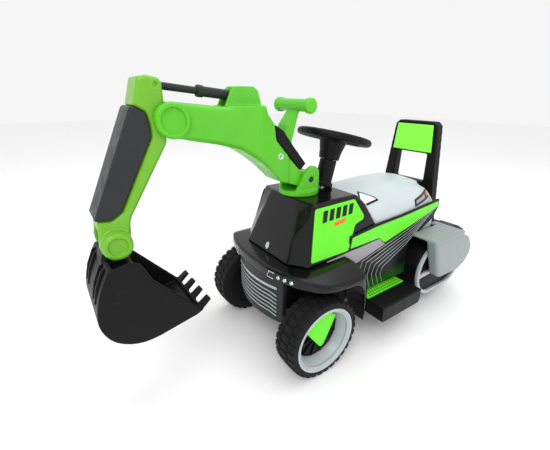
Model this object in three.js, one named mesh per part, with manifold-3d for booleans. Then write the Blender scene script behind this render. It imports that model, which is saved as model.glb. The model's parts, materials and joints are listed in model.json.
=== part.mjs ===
// Ride-on digger: a foot-to-floor toy with a swinging excavator arm.
// Millimetres, +Z up, the driver looks along -Y, +X is the driver's left.
// Inside the group, y = 0 is the front axle; the group then centres the toy's length on the origin.
import * as THREE from 'three';
import * as BufferGeometryUtils from 'three/addons/utils/BufferGeometryUtils.js';
import Module from 'manifold-3d';

const wasm = await Module();
wasm.setup();

// ---------- driving dimensions ----------
const MID_Y = 98;                     // middle of the overall length, behind the front axle
const GAP = 0.3;                      // clearance between touching pieces
const WHEEL_R = 85;
const WHEEL_IN = 108;                 // inner and outer planes of a front tyre
const WHEEL_OUT = 166;
const RIM_R = 70;
const KINGPIN_X = 92;
const ARM_Y = 36;                     // steering arm length behind the axle
const TIE_Z = 84;
const PEG_Y = 84;                     // peg on the tie rod that the steering crank pushes
const CHASSIS_TOP = 196;
const SHELF_TOP = 219.7;
const HOOD_TOP = 338.6;
const BODY_HALF = 100;                // half width of the body behind its side panels
const STEP = { inner: 80, outer: 176, front: 158, rear: 301, low: 61, top: 99.7 };
const FASCIA_HALF = 83;
const TURRET = { y: 52.4, r: 41.8 };
const BOOM = { y: 57, z: 371 };       // boom pivot
const ELBOW = { y: -213.4, z: 495.3 };
const WRIST = { y: -314, z: 324.4 };  // bucket pivot
const ROD_EYE = { y: -229, z: 543.3 };
const TUBE_EYE = { y: -80, z: 526.3 };
const COLUMN = { y: 119, tilt: THREE.MathUtils.degToRad(14), wheel: 110, r: 81 };
const BACK = { front: 443, rear: 469, top: 468, low: 197 };
const REAR_AXLE = { y: 440, r: 70 };
const POD = { front: 403, rear: 472, z: 109, r: 76 };

// ---------- solids ----------
const toSolid = geometry => {
  const g = geometry.clone();
  g.deleteAttribute('normal');
  g.deleteAttribute('uv');
  const m = BufferGeometryUtils.mergeVertices(g, 1e-4);
  const pos = m.attributes.position;
  const index = [];
  const src = m.index.array;
  for (let i = 0; i < src.length; i += 3) {
    const [a, b, c] = [src[i], src[i + 1], src[i + 2]];
    if (a !== b && b !== c && a !== c) index.push(a, b, c);
  }
  let volume = 0;
  const [p, q, r] = [new THREE.Vector3(), new THREE.Vector3(), new THREE.Vector3()];
  for (let i = 0; i < index.length; i += 3) {
    p.fromBufferAttribute(pos, index[i]);
    q.fromBufferAttribute(pos, index[i + 1]);
    r.fromBufferAttribute(pos, index[i + 2]);
    volume += p.dot(q.cross(r));
  }
  if (volume < 0) for (let i = 0; i < index.length; i += 3) [index[i], index[i + 1]] = [index[i + 1], index[i]];
  const mesh = new wasm.Mesh({
    numProp: 3,
    vertProperties: new Float32Array(pos.array),
    triVerts: new Uint32Array(index),
  });
  mesh.merge();
  return new wasm.Manifold(mesh);
};
const toGeometry = solid => {
  const mesh = solid.getMesh();
  const g = new THREE.BufferGeometry();
  g.setAttribute('position', new THREE.BufferAttribute(new Float32Array(mesh.vertProperties), 3));
  g.setIndex(new THREE.BufferAttribute(new Uint32Array(mesh.triVerts), 1));
  return g;
};
const join = (...solids) => solids.reduce((a, b) => a.add(b));
const cut = (solid, ...tools) => tools.reduce((a, b) => a.subtract(b), solid);
const mirror = solid => solid.mirror([1, 0, 0]);
const sided = (solid, side) => (side > 0 ? solid : mirror(solid));

const outline = points => new THREE.Shape(points.map(([a, b]) => new THREE.Vector2(a, b)));
const extrude = (shape, depth, bevel = 0) => new THREE.ExtrudeGeometry(shape, {
  depth: depth - 2 * bevel, curveSegments: 10, steps: 1,
  bevelEnabled: bevel > 0, bevelThickness: bevel, bevelSize: bevel, bevelOffset: -bevel, bevelSegments: 1,
}).translate(0, 0, bevel);
// outline in (y, z), pushed along x
const prismX = (points, x0, x1, bevel = 0) => {
  const shape = Array.isArray(points) ? outline(points) : points;
  const basis = new THREE.Matrix4().set(0, 0, 1, x0, 1, 0, 0, 0, 0, 1, 0, 0, 0, 0, 0, 1);
  return toSolid(extrude(shape, x1 - x0, bevel).applyMatrix4(basis));
};
// outline in (x, z), pushed along y
const prismY = (points, y0, y1, bevel = 0) => {
  const shape = Array.isArray(points) ? outline(points) : points;
  const basis = new THREE.Matrix4().set(1, 0, 0, 0, 0, 0, -1, y1, 0, 1, 0, 0, 0, 0, 0, 1);
  return toSolid(extrude(shape, y1 - y0, bevel).applyMatrix4(basis));
};
// outline in (x, y), pushed along z
const prismZ = (points, z0, z1, bevel = 0) => {
  const shape = Array.isArray(points) ? outline(points) : points;
  return toSolid(extrude(shape, z1 - z0, bevel).translate(0, 0, z0));
};
const box = (x0, x1, y0, y1, z0, z1) => toSolid(
  new THREE.BoxGeometry(x1 - x0, y1 - y0, z1 - z0).translate((x0 + x1) / 2, (y0 + y1) / 2, (z0 + z1) / 2));
const rodX = (r, x0, x1, y, z, sides = 14) => toSolid(
  new THREE.CylinderGeometry(r, r, x1 - x0, sides).rotateZ(Math.PI / 2).translate((x0 + x1) / 2, y, z));
const rodZ = (r, z0, z1, x, y, sides = 14) => toSolid(
  new THREE.CylinderGeometry(r, r, z1 - z0, sides).rotateX(Math.PI / 2).translate(x, y, (z0 + z1) / 2));
// profile of [radius, x], turned about a line along x through (y, z)
const latheX = (profile, y, z, sides = 24) => toSolid(
  new THREE.LatheGeometry(profile.map(([r, x]) => new THREE.Vector2(r, -x)), sides)
    .rotateZ(Math.PI / 2).translate(0, y, z));
// straight bar between two points of the x = 0 plane
const barYZ = (from, to, r, sides = 16) => {
  const dy = to.y - from.y;
  const dz = to.z - from.z;
  const length = Math.hypot(dy, dz);
  return toSolid(new THREE.CylinderGeometry(r, r, length, sides)
    .rotateX(Math.atan2(dz, dy)).translate(0, (from.y + to.y) / 2, (from.z + to.z) / 2));
};
// rings of points, one above another, skinned and capped
const loft = rings => {
  const n = rings[0].length;
  const positions = rings.flat(2);
  const index = [];
  for (let k = 0; k + 1 < rings.length; k += 1) {
    for (let i = 0; i < n; i += 1) {
      const [a, b] = [k * n + i, k * n + (i + 1) % n];
      index.push(a, b, b + n, a, b + n, a + n);
    }
  }
  const top = (rings.length - 1) * n;
  for (let i = 1; i + 1 < n; i += 1) {
    index.push(0, i + 1, i);
    index.push(top, top + i, top + i + 1);
  }
  const g = new THREE.BufferGeometry();
  g.setAttribute('position', new THREE.Float32BufferAttribute(positions, 3));
  g.setIndex(index);
  return toSolid(g);
};
const arc = (cy, cz, r, fromDeg, toDeg, steps) => Array.from({ length: steps + 1 }, (_, i) => {
  const a = THREE.MathUtils.degToRad(fromDeg + (toDeg - fromDeg) * i / steps);
  return [cy + r * Math.cos(a), cz + r * Math.sin(a)];
});

// smooth open curve through the points
const curve = (points, steps = 16) => new THREE.SplineCurve(points.map(([a, b]) => new THREE.Vector2(a, b)))
  .getPoints(steps).map(({ x, y }) => [x, y]);

// ---------- materials ----------
const plastic = (color, roughness = 0.45, metalness = 0) =>
  new THREE.MeshStandardMaterial({ color, roughness, metalness });
const LOOK = {
  lime: () => plastic(0x6edc3c, 0.35),
  limeDecal: () => plastic(0x78ff32, 0.3),
  gloss: () => plastic(0x0c0c0d, 0.12),
  black: () => plastic(0x161617, 0.5),
  cover: () => plastic(0x3c3c3e, 0.45),
  tyre: () => plastic(0x1b1a1b, 0.75),
  paleGrey: () => plastic(0xd5dfe0, 0.35),
  midGrey: () => plastic(0x919896, 0.4),
  rim: () => plastic(0xafb6b8, 0.35),
  steel: () => plastic(0xb8bcc0, 0.3, 1),
};
const digger = new THREE.Group();
digger.position.y = -MID_Y;
const add = (name, solid, look) => {
  const mesh = new THREE.Mesh(toGeometry(solid), LOOK[look]());
  mesh.name = name;
  digger.add(mesh);
};
const bothSides = (name, make, look) => {
  for (const side of [1, -1]) add(`${name}_${side > 0 ? 'left' : 'right'}`, make(side), look);
};

// ---------- chassis and body ----------
const steeringAxis = (r, low, high, sides = 20) => toSolid(
  new THREE.CylinderGeometry(r, r, high - low, sides).rotateX(Math.PI / 2)
    .translate(0, 0, (low + high) / 2).rotateX(-COLUMN.tilt).translate(0, COLUMN.y, HOOD_TOP));
const chassis = () => {
  const profile = [[-36, 120], [112, 120], [128, 75], [300, 75], [352, 150],
    [442.5, 150], [442.5, CHASSIS_TOP], [-36, CHASSIS_TOP]];
  const tail = box(-79.7, 79.7, 442, 520, 150, CHASSIS_TOP);
  const hanger = prismX([[424, 151], [456, 151], [448, 60], [432, 60]], -24, 24);
  const holes = [rodX(5.3, -90, 90, REAR_AXLE.y, REAR_AXLE.r), steeringAxis(13, -260, -110)];
  const sills = box(-BODY_HALF, BODY_HALF, 134, 329.7, 101, CHASSIS_TOP);
  return cut(join(prismX(profile, -79.7, 79.7), tail, hanger, sills), ...holes);
};
const frontBeam = () => {
  const beam = box(-76, 76, -14, 14, 60, 119.7);
  const lugs = [1, -1].map(s => {
    const web = box(70, 77, -14, 14, 44, 119.7);
    const plates = join(box(76, 103, -12, 12, 106, 114), box(76, 103, -12, 12, 48, 56));
    return sided(cut(join(web, plates), rodZ(4.3, 40, 120, KINGPIN_X, 0)), s);
  });
  return join(beam, ...lugs);
};
const fasciaCurve = (half, out, steps = 8) => Array.from({ length: steps + 1 }, (_, i) => {
  const x = -half + 2 * half * i / steps;
  return [x, -47 - 17 * (1 - (x / FASCIA_HALF) ** 2) - out];
});
const fascia = () => prismZ([...fasciaCurve(FASCIA_HALF, 0), [FASCIA_HALF, -36.3], [-FASCIA_HALF, -36.3]], 92, 196);
const shelfPlan = () => {
  const half = curve([[0, -68], [48, -66], [88, -58], [124, -44], [150, -24], [166, 4], [172, 36], [172, 84],
    [158, 118], [140, 132]], 22);
  return [...half, ...half.slice(1).reverse().map(([x, y]) => [-x, y])];
};
const frontBody = () => {
  const crest = curve([[-70, 200], [-58, 214], [-30, SHELF_TOP], [48, SHELF_TOP], [86, 204], [112, 160], [131, 76]], 18);
  const under = curve([[119, 72], [103, 146], [80, 182], [50, 191], [-12, 192], [-44, 196.3]], 14);
  const arch = [...crest, ...under, [-70, 196.3]];
  const plate = prismX([[-70, 196.3], [-70, SHELF_TOP], [96, SHELF_TOP], [96, 196.3]], -172, 172);
  const arches = [1, -1].map(s => sided(prismX(arch, BODY_HALF + 6.3, 172), s));
  const slope = s => sided(prismY([[118, 225], [180, 225], [180, 190], [168, 204]], -100, 140), s);
  const deck = box(-BODY_HALF - 6, BODY_HALF + 6, 90, 132, 196.3, SHELF_TOP);
  const body = join(plate, deck, ...arches).intersect(prismZ(shelfPlan(), 60, SHELF_TOP));
  return cut(body, slope(1), slope(-1), steeringAxis(13, -160, -90));
};
// level rings of the hood: side x, corner y, rear y, half width of the middle front facet, its bulge, height
const hoodRings = grow => [
  [108.7, -8.3, 205, 74, 24, 220], [99.5, 5, 196, 64, 19, 265],
  [88.7, 18, 166, 51, 12, 316], [84, 23.8, 140, 45, 9, HOOD_TOP],
].map(([w, f, r, flat, bulge, z]) => {
  const [W, F, R] = [w + grow, f - grow, r + grow];
  const x = [flat, W, W, -W, -W, -flat];
  const y = [F - bulge, F, R, R, F, F - bulge];
  return x.map((value, i) => [value, y[i], z]);
});
const hood = () => {
  const inner = hoodRings(-3.5).map((ring, k) => ring.map(([x, y, z]) => [x, y, [219, 262, 313, 335][k]]));
  const bores = [rodZ(20, 300, 350, 0, TURRET.y, 28), steeringAxis(12, -30, 20)];
  return cut(loft(hoodRings(0)), loft(inner), ...bores);
};
const hoodKeepOut = () => {
  const rings = hoodRings(GAP + 0.2);
  return loft([rings[0].map(([x, y]) => [x, y, 190]), ...rings]);
};
// seat cross-section: half outline in (x, z), scaled by the local crown height
const seatRing = (y, crown, half) => {
  const right = [[half, CHASSIS_TOP + GAP], [half + 1, 262], [half - 9, 292], [half - 28, 318], [half - 52, 331]];
  const lift = (crown - CHASSIS_TOP) / 140;
  const points = [...right, [0, 336], ...right.slice().reverse().map(([x, z]) => [-x, z])];
  return points.map(([x, z]) => [x, y, CHASSIS_TOP + GAP + (z - CHASSIS_TOP - GAP) * lift]);
};
const seat = () => {
  const stations = [[140, 333, 95], [215, 334, 98], [300, 338, 99], [380, 336, 99], [420, 324, 98],
    [442.6, 306, 96]];
  const body = loft(stations.map(([y, crown, half]) => seatRing(y, crown, half)).reverse());
  const hollowProfile = [[-90, 190], [90, 190], [90, 280], [60, 316], [-60, 316], [-90, 280]];
  const hollow = prismY(hollowProfile, 222, 432);
  return cut(body, hoodKeepOut(), hollow);
};
const sidePanel = side => {
  const profile = [[140, 188], [30, 214], [36, 224], [104, 236], [110, 258], [190, 267.5], [290, 271.5],
    [437, 283], [440, 262], [420, 232], [330, 190], [330, 101], [160, 101], [142, 150]];
  const keep = box(0, 200, -80, 140, 150, SHELF_TOP + GAP);
  const solid = prismX(profile, BODY_HALF + GAP, BODY_HALF + 5.7);
  return sided(cut(solid, keep, hoodKeepOut()), side);
};
const step = side => sided(prismX([[STEP.front, 66], [STEP.front + 5, STEP.low], [STEP.rear - 5, STEP.low],
  [STEP.rear, 66], [STEP.rear, STEP.top], [STEP.front, STEP.top]], STEP.inner, STEP.outer), side);
const stepPad = side => sided(prismZ([[107, 170], [129, 160], [129, 290], [107, 290]],
  STEP.top + GAP, STEP.top + 3.3), side);
// ---------- backrest ----------
const backFrame = () => {
  const leg = (z, low, high) => low + (high - low) * (z - BACK.low) / (BACK.top - BACK.low);
  const w = z => leg(z, 88, 60);
  const shape = outline([[w(197), 197], [w(460), 458], [w(460) - 10, BACK.top], [10 - w(460), BACK.top],
    [-w(460), 458], [-w(197), 197]]);
  const hole = new THREE.Path([[44, 388], [-44, 388], [-46, 314], [46, 314]].map(p => new THREE.Vector2(...p)));
  shape.holes.push(hole);
  return prismY(shape, BACK.front, BACK.rear);
};
const backPanel = () => prismY([[57, 392], [51, 460], [-51, 460], [-57, 392]], BACK.front - 3.3, BACK.front - GAP);

// ---------- front running gear ----------
const tyre = side => {
  const profile = [[61, WHEEL_IN], [78, WHEEL_IN], [83, WHEEL_IN + 5], [WHEEL_R, WHEEL_IN + 12],
    [WHEEL_R, WHEEL_OUT - 12], [83, WHEEL_OUT - 5], [78, WHEEL_OUT - 0.5], [71, WHEEL_OUT - 0.5],
    [71, WHEEL_OUT - 5], [61, WHEEL_OUT - 5], [61, WHEEL_IN]];
  return sided(latheX(profile, 0, WHEEL_R, 32), side);
};
const rim = side => {
  const profile = [[60.7, WHEEL_IN + 1], [60.7, WHEEL_OUT - 4.5], [RIM_R, WHEEL_OUT - 4.5], [RIM_R, WHEEL_OUT],
    [60, WHEEL_OUT + 1], [53, 140], [53, WHEEL_IN + 1], [60.7, WHEEL_IN + 1]];
  return sided(latheX(profile, 0, WHEEL_R, 32), side);
};
const wheelDisc = side => {
  const disc = latheX([[6.4, 110], [13, 110], [13, 132], [52.7, 132], [52.7, 137], [6.4, 137], [6.4, 110]],
    0, WHEEL_R, 24);
  const rib = i => toSolid(new THREE.BoxGeometry(4, 2.6, 28).translate(138.6, 0, 34)
    .rotateX(i * Math.PI / 6).translate(0, 0, WHEEL_R));
  return sided(join(disc, ...Array.from({ length: 12 }, (_, i) => rib(i))), side);
};
const knuckle = side => {
  const barrel = rodZ(9, 56.4, 105.6, KINGPIN_X, 0);
  const stub = rodX(6, KINGPIN_X, 146, 0, WHEEL_R);
  const arm = box(KINGPIN_X - 5, KINGPIN_X + 5, 4, ARM_Y, TIE_Z - 7, TIE_Z - 1);
  const eye = rodZ(8, TIE_Z - 7, TIE_Z - 1, KINGPIN_X, ARM_Y);
  const pin = rodZ(3, TIE_Z - 7, TIE_Z + 9, KINGPIN_X, ARM_Y);
  return sided(cut(join(barrel, stub, arm, eye, pin), rodZ(4.3, 50, 110, KINGPIN_X, 0)), side);
};
const kingpin = side => sided(join(rodZ(4, 46, 114.4, KINGPIN_X, 0), rodZ(7, 114.3, 117, KINGPIN_X, 0)), side);
const tieRod = () => {
  const ends = [1, -1].map(s => sided(rodZ(11, TIE_Z - GAP * 2, TIE_Z + 6, KINGPIN_X, ARM_Y), s));
  const holes = [1, -1].map(s => sided(rodZ(6.5, TIE_Z - 2, TIE_Z + 8, KINGPIN_X, ARM_Y), s));
  const bar = box(-KINGPIN_X + 8, KINGPIN_X - 8, ARM_Y - 6, ARM_Y + 6, TIE_Z, TIE_Z + 6);
  const tongue = box(-8, 8, ARM_Y, PEG_Y + 6, TIE_Z, TIE_Z + 6);
  const peg = rodZ(3.5, TIE_Z, TIE_Z + 20, 0, PEG_Y);
  return cut(join(bar, ...ends, tongue, peg), ...holes);
};

// ---------- steering ----------
const column = () => {
  const collar = steeringAxis(22, 3, 12, 24);
  const sleeve = steeringAxis(18.5, 3, 62, 24);
  return cut(join(collar, sleeve), steeringAxis(8.3, -8, 70), box(-60, 60, 60, 200, 300, HOOD_TOP + GAP));
};
const steeringShaft = () => {
  const shaft = steeringAxis(8, -236, COLUMN.wheel - 20);
  const crank = box(-6, 6, 54, PEG_Y - 10, 106, 113);
  const fork = cut(box(-12, 12, PEG_Y - 14, PEG_Y + 12, 96, 113), box(-5.5, 5.5, PEG_Y - 8, PEG_Y + 20, 90, 105.8));
  return join(shaft, crank, fork);
};
const tilted = (geometry, lift) => toSolid(geometry.translate(0, 0, lift).rotateX(-COLUMN.tilt)
  .translate(0, COLUMN.y, HOOD_TOP));
const steeringWheel = () => {
  const ring = tilted(new THREE.TorusGeometry(COLUMN.r - 8, 8.5, 8, 28), COLUMN.wheel);
  const hub = tilted(new THREE.CylinderGeometry(33, 25, 34, 28).rotateX(Math.PI / 2), COLUMN.wheel - 10);
  const spokes = [90, 210, 330].map(deg => tilted(new THREE.BoxGeometry(56, 20, 9).translate(44, 0, 0)
    .rotateZ(THREE.MathUtils.degToRad(deg)), COLUMN.wheel - 3));
  const boss = tilted(new THREE.CylinderGeometry(25, 22, 25.7, 24).rotateX(Math.PI / 2), COLUMN.wheel - 34.8);
  const buttonWell = tilted(new THREE.CylinderGeometry(17.5, 17.5, 12, 24).rotateX(Math.PI / 2), COLUMN.wheel + 6);
  const shaftBore = steeringAxis(8.3, COLUMN.wheel - 60, COLUMN.wheel - 20 + GAP);
  return cut(join(ring, hub, boss, ...spokes), buttonWell, shaftBore);
};
const hornButton = () => tilted(new THREE.CylinderGeometry(16, 17, 8, 24).rotateX(Math.PI / 2), COLUMN.wheel + 8);

// ---------- rear running gear ----------
const rearAxle = () => rodX(5, -84, 84, REAR_AXLE.y, REAR_AXLE.r);
const rearWheel = side => sided(latheX([[5.4, 27], [REAR_AXLE.r - 3, 27], [REAR_AXLE.r, 31], [REAR_AXLE.r, 74],
  [REAR_AXLE.r - 3, 78], [5.4, 78], [5.4, 27]], REAR_AXLE.y, REAR_AXLE.r, 28), side);
const stadium = (r, steps = 10) => [
  ...arc(POD.front, POD.z, r, 90, 270, steps), ...arc(POD.rear, POD.z, r, -90, 90, steps)];
const trackTail = () => prismX([[474, 182], [508, 168], [532, 142], [540, 116], [558, 120],
  [556, 152], [538, 186], [506, 203], [478, 206]], 84.3, 137.7);
const trackShell = side => {
  const drum = cut(prismX(stadium(POD.r), 84.3, 137.7), box(60, 200, 300, 330.3, 0, 300));
  const solid = join(drum, trackTail());
  return sided(cut(solid, rodX(5.3, 70, 84.6, REAR_AXLE.y, REAR_AXLE.r)), side);
};
const trackFrame = side => sided(prismX(stadium(POD.r - 4), 138, 145), side);
const podSide = side => sided(prismX([[334, 203], [372, 108], [386, 98], [470, 94], [506, 108], [522, 132],
  [522, 158], [500, 186], [462, 203]], 145.3, 174, 5), side);
const podTop = side => {
  const solid = prismX([[334, 203.5], [462, 203.5], [470, 200], [474, 207], [462, 211], [336, 211]], 84.3, 172);
  return sided(cut(solid, box(0, BODY_HALF + 6.2, 300, 443, 190, 230), box(0, 89, 442, 480, 190, 230)), side);
};
// ---------- turret and arm ----------
const turret = () => {
  const disc = rodZ(TURRET.r, HOOD_TOP + GAP, 350, 0, TURRET.y, 40);
  const spigot = rodZ(19.5, 322, HOOD_TOP + 2, 0, TURRET.y, 28);
  const cheek = [[20, 345], [28, 360], [40, 386], ...arc(BOOM.y + 4, 381, 17, 150, 0, 7), [84, 345]];
  const cheeks = [1, -1].map(s => sided(prismX(cheek, 24.5, 34), s)
    .intersect(rodZ(TURRET.r, 330, 420, 0, TURRET.y, 40)));
  return cut(join(disc, spigot, ...cheeks), rodX(6, -50, 50, BOOM.y, BOOM.z));
};
const turretRing = () => cut(rodZ(24, 323, 334.7, 0, TURRET.y, 28), rodZ(19.8, 318, 340, 0, TURRET.y, 28));
const boomPin = () => rodX(5.7, -33.5, 33.5, BOOM.y, BOOM.z);
const boomPlan = () => [
  [-36, -245], [-36, -60], [-24.2, 22], [-24.2, 90], [24.2, 90], [24.2, 22], [36, -60], [36, -245]];
const boom = () => {
  const profile = [...arc(ELBOW.y, ELBOW.z, 26, 250, 95, 10), [-200, 520], [-135, 513], [-119, 512], [-108, 536],
    [-98, 543], [-64, 543], [-56, 536], [-45, 499], [-31, 482], [-27, 454], [38, 388],
    ...arc(BOOM.y, BOOM.z, 19, 48, -105, 8), [28, 361], [-12, 374], [-41, 403], [-70, 425], [-100, 443], [-142, 455],
    [-196, 466]];
  const body = prismX(profile, -36, 36, 6).intersect(prismZ(boomPlan(), 300, 600));
  const forkSlot = join(rodX(33, -27.8, 27.8, ELBOW.y, ELBOW.z, 28), box(-27.8, 27.8, -250, ELBOW.y, 440, 540));
  const tubeSlot = box(-10, 10, -128, -66, 511, 560);
  const sides = [1, -1].map(s => sided(prismX([[-128, 500], [-40, 500], [-40, 560], [-128, 560]], 17, 60), s));
  const bores = [rodX(6, -60, 60, BOOM.y, BOOM.z), rodX(6, -60, 60, ELBOW.y, ELBOW.z),
    rodX(3.3, -14, 14, TUBE_EYE.y, TUBE_EYE.z)];
  const trimmed = sides.map(solid => solid.intersect(box(-60, 60, -130, -38, 513, 560)));
  const turretClear = rodZ(60, 300, 350.3, 0, TURRET.y, 28);
  const cheekClear = [1, -1].map(s => sided(box(23.8, 60, 5, 100, 330, 420), s));
  return cut(body, forkSlot, tubeSlot, ...trimmed, ...bores, turretClear, ...cheekClear);
};
const boomInsert = () => {
  const profile = [[-30.2, 481], [-26.4, 454.6], [37, 390.6], [50, 403], [-11, 470]];
  const solid = prismX(profile, -33, 33, 3).intersect(prismZ(boomPlan(), 300, 600));
  const cheekClear = [1, -1].map(s => sided(box(23.8, 60, 5, 100, 330, 420), s));
  return cut(solid, ...cheekClear, prismX(stemProfile(0.35), -15.4, 15.4));
};
const stemProfile = grow => [[2 - grow, 462], [18 + grow, 442], [35 + grow, 500], [28 - grow, 503], [8 - grow, 478]];
const handle = () => {
  const stem = prismX(stemProfile(0), -15, 15);
  const grip = rodX(11.5, -41, 41, 35, 512, 20);
  const ends = [1, -1].map(s => sided(latheX([[0, 40], [14, 40], [14, 49], [11, 52], [0, 52]], 35, 512, 20), s));
  return join(stem, grip, ...ends);
};
const tubeDirection = () => {
  const dy = ROD_EYE.y - TUBE_EYE.y;
  const dz = ROD_EYE.z - TUBE_EYE.z;
  const length = Math.hypot(dy, dz);
  return at => ({ y: TUBE_EYE.y + dy / length * at, z: TUBE_EYE.z + dz / length * at });
};
const along = tubeDirection();
const cylinderTube = () => {
  const tube = join(barYZ(along(6), along(80), 8), barYZ(along(72), along(80), 9.2),
    rodX(8.5, -8, 8, TUBE_EYE.y, TUBE_EYE.z));
  return cut(tube, barYZ(along(14), along(84), 5.8), rodX(3.3, -12, 12, TUBE_EYE.y, TUBE_EYE.z));
};
const cylinderRod = () => {
  const bar = barYZ(along(44), along(142), 5.4);
  const eye = rodX(10, -6, 6, ROD_EYE.y, ROD_EYE.z);
  return cut(join(bar, eye), rodX(7.2, -8, 8, ROD_EYE.y, ROD_EYE.z));
};
const tubePin = () => rodX(3, -13.5, 13.5, TUBE_EYE.y, TUBE_EYE.z, 14);
const rodPin = () => rodX(2.6, -25, 25, ROD_EYE.y, ROD_EYE.z, 14);
const coverEdge = [[-263, 516], [-247, 506], [-243.5, 490], [-243.5, 474], [-299, 371], [-315, 361], [-333, 363]];
const dipper = () => {
  const front = [[-333, 362.6], ...arc(WRIST.y, WRIST.z, 23, 165, 345, 10), [-289, 352]];
  const rear = [[-286, 360], [-222, 462], [-219, 480], [-219, 525], [-219, 545], [-224, 552], [-240, 555], [-252, 552],
    [-262.7, 516.3]];
  const inner = coverEdge.slice(1, -1).map(([y, z]) => [y + 0.35, z + (z > ELBOW.z ? 0.5 : -0.35)]);
  const body = prismX([...front, ...rear, ...inner], -27.5, 27.5, 4);
  const ends = rodX(22.5, -36, 36, WRIST.y, WRIST.z, 28);
  const fork = join(rodX(27, -20.3, 20.3, WRIST.y, WRIST.z, 28), box(-20.3, 20.3, -360, WRIST.y, 280, 346));
  const rodSlot = box(-9, 9, -246, -205, 524, 560);
  const boomClear = [1, -1].map(s => sided(box(27.4, 60, -260, -180, 440, 540), s));
  return cut(join(body, ends), fork, rodSlot, ...boomClear,
    rodX(6, -60, 60, ELBOW.y, ELBOW.z), rodX(6, -60, 60, WRIST.y, WRIST.z), rodX(2.9, -40, 40, ROD_EYE.y, ROD_EYE.z));
};
const dipperCover = () => {
  const outer = [[-333, 363], [-262.7, 515.7]];
  const points = [outer[0], ...coverEdge.slice(1, -1).reverse(), outer[1], [-268, 514],
    [-337, 364]];
  return prismX(points, -29, 29, 2);
};
const pivotPin = (at, half) => rodX(5.7, -half, half, at.y, at.z);
const pivotCap = (at, x0, r, rTop) => side => sided(latheX([[0, x0], [r, x0], [r, x0 + 3], [rTop, x0 + 6.5],
  [rTop - 4.5, x0 + 6.5], [rTop - 5.5, x0 + 2.2], [0, x0 + 2.2]], at.y, at.z, 24), side);
const bucket = () => {
  const outer = [...curve([[-336, 300], [-350, 272], [-360, 240], [-361, 212], [-350, 186], [-330, 169],
    [-305, 161], [-280, 162]], 20), [-214, 176], [-202, 182], [-278, 268], [-292, 300], [-306, 306]];
  const inner = [[-318, 320], ...curve([[-334, 292], [-348, 264], [-356, 238], [-356, 214], [-346, 191],
    [-327, 175], [-304, 167], [-281, 168]], 20), [-212, 183], [-180, 230], [-250, 330]];
  const shell = cut(prismX(outer, -63, 63, 2), prismX(inner, -58, 58));
  const lug = prismX([...arc(WRIST.y, WRIST.z, 18, 200, -20, 8), [-300, 300], [-334, 292], [-340, 296]], -20, 20);
  const bridge = prismX([[-338, 290], [-306, 296], [-298, 296], [-302, 290], [-334, 283], [-341, 284]], -59, 59);
  const toothEdge = [[-214, 176], [-202, 182], [-186, 196], [-189, 200], [-213, 183]];
  const teeth = [-52, -17, 17, 52].map(x => prismX(toothEdge, x - 8, x + 8));
  return cut(join(shell, lug, bridge, ...teeth), rodX(6, -50, 50, WRIST.y, WRIST.z));
};

// ---------- lamps and grille ----------
const grille = () => {
  const bars = Array.from({ length: 7 }, (_, i) => {
    const z = 110 + i * 10.5;
    const high = i === 6 ? 7 : 3.4;
    return prismZ([...fasciaCurve(76, 2.4), ...fasciaCurve(76, GAP + 0.1).reverse()], z, z + high);
  });
  const spine = box(-4, 4, -66.3, -64.9, 108, 180);
  return join(...bars, spine);
};
add('chassis', chassis(), 'black');
add('front_beam', frontBeam(), 'black');
add('front_fascia', fascia(), 'black');
add('front_fenders', frontBody(), 'gloss');
add('hood', hood(), 'gloss');
add('seat', seat(), 'paleGrey');
add('backrest_frame', backFrame(), 'black');
add('backrest_panel', backPanel(), 'limeDecal');
add('grille', grille(), 'midGrey');
bothSides('side_panel', sidePanel, 'black');
bothSides('step', step, 'black');
bothSides('step_pad', stepPad, 'limeDecal');
bothSides('front_tyre', tyre, 'tyre');
bothSides('front_rim', rim, 'rim');
bothSides('wheel_disc', wheelDisc, 'black');
bothSides('knuckle', knuckle, 'black');
bothSides('kingpin', kingpin, 'steel');
add('tie_rod', tieRod(), 'steel');
add('steering_column', column(), 'black');
add('steering_shaft', steeringShaft(), 'steel');
add('steering_wheel', steeringWheel(), 'black');
add('horn_button', hornButton(), 'cover');
add('rear_axle', rearAxle(), 'steel');
bothSides('rear_wheel', rearWheel, 'tyre');
bothSides('track_shell', trackShell, 'black');
bothSides('track_frame', trackFrame, 'rim');
bothSides('pod_side', podSide, 'midGrey');
bothSides('pod_top', podTop, 'paleGrey');
add('turret', turret(), 'lime');
add('turret_ring', turretRing(), 'black');
add('boom_pin', boomPin(), 'cover');
add('boom', boom(), 'lime');
add('boom_insert', boomInsert(), 'black');
add('handle', handle(), 'lime');
add('cylinder_tube', cylinderTube(), 'cover');
add('cylinder_rod', cylinderRod(), 'cover');
add('dipper', dipper(), 'lime');
add('dipper_cover', dipperCover(), 'cover');
add('tube_pin', tubePin(), 'steel');
add('rod_pin', rodPin(), 'lime');
add('elbow_pin', pivotPin(ELBOW, 35.7), 'steel');
bothSides('elbow_cap', pivotCap(ELBOW, 36.3, 26, 23.4), 'lime');
add('wrist_pin', pivotPin(WRIST, 35.7), 'steel');
bothSides('wrist_cap', pivotCap(WRIST, 36.3, 21.5, 18.6), 'lime');
add('bucket', bucket(), 'black');

export default digger;
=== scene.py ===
"""Ride-on digger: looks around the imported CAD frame. Metres, in the frame of the CAD."""
import json
import math

import bmesh
import bpy
from mathutils import Matrix, Vector
from mathutils.bvhtree import BVHTree


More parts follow.
